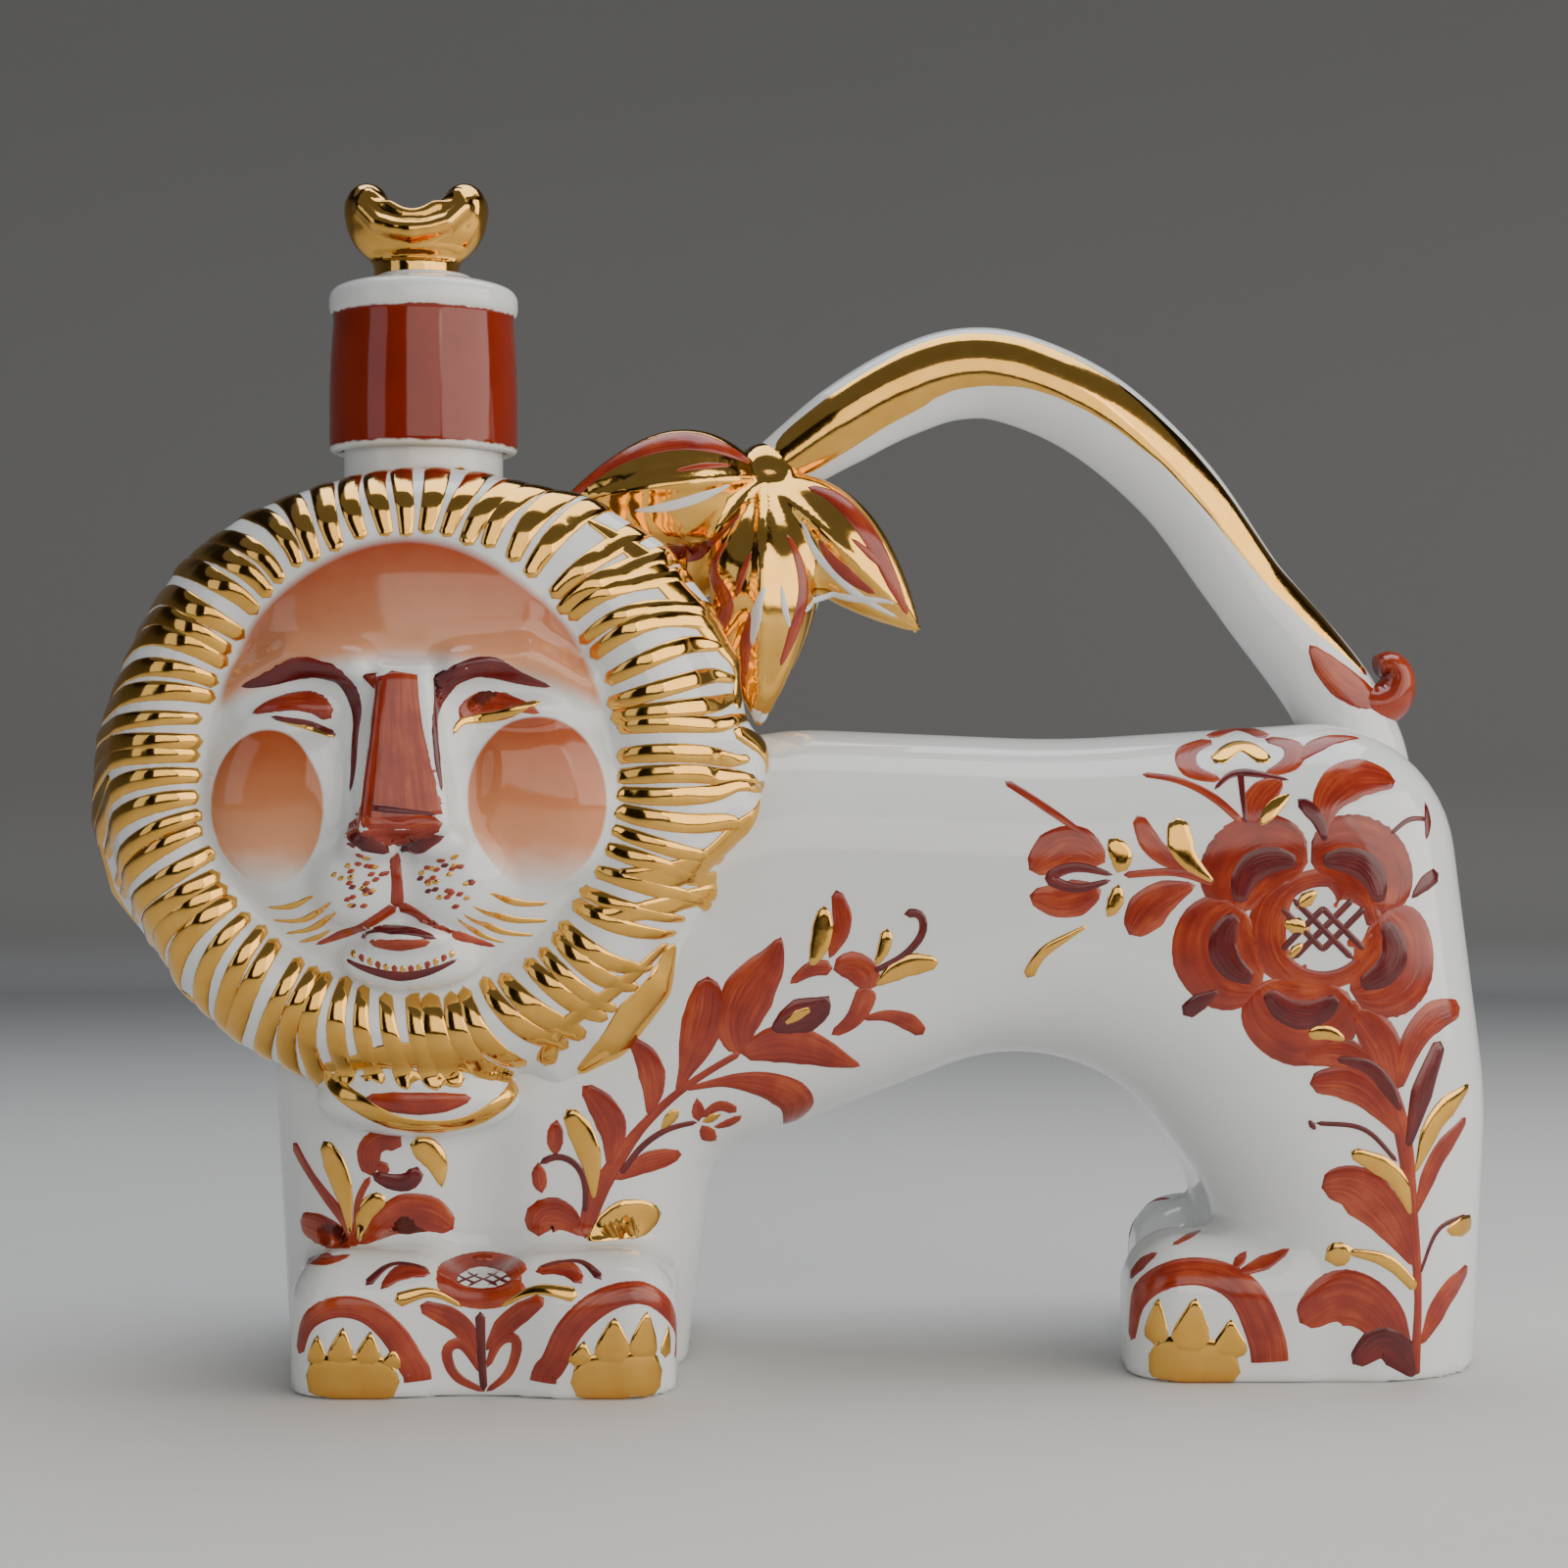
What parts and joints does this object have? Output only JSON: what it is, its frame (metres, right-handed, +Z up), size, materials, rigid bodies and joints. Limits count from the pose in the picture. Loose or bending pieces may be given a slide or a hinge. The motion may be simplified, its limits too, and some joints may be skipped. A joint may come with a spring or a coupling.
{
  "type": "figural liquor decanter",
  "caption": "Hollow glazed porcelain decanter shaped as a standing lion, with an arched tail handle, a neck on the head and a lift-off hat stopper with a crescent knob.",
  "frame": {"origin": "centre of the bottom of the bounding box, on the surface the decanter stands on", "axes": "+X from the head to the rump, -Y the way the face looks, +Z up"},
  "size_m": [0.2538, 0.099, 0.2203],
  "materials": {
    "white_porcelain": "white porcelain under a clear gloss glaze, hand painted",
    "gilt_porcelain": "glazed porcelain with burnished bright gold",
    "red_porcelain": "iron red enamel fired on glazed porcelain",
    "cork": "natural cork"
  },
  "bodies": {
    "body": {"fore_quarter": "white_porcelain", "barrel": "white_porcelain", "hind_quarter": "white_porcelain", "head": "white_porcelain", "mane_lobes": "gilt_porcelain", "mane_locks": "gilt_porcelain", "tail": "white_porcelain", "tail_curl": "red_porcelain", "tail_tuft": "gilt_porcelain"},
    "stopper": {"hat": "red_porcelain", "crescent": "gilt_porcelain", "cork": "cork"}
  },
  "joints": [
    {"name": "stopper_lift", "type": "slide", "parent": "body", "child": "stopper", "axis": [0, 0, 1], "range_m": [0, 0.04]}
  ]
}
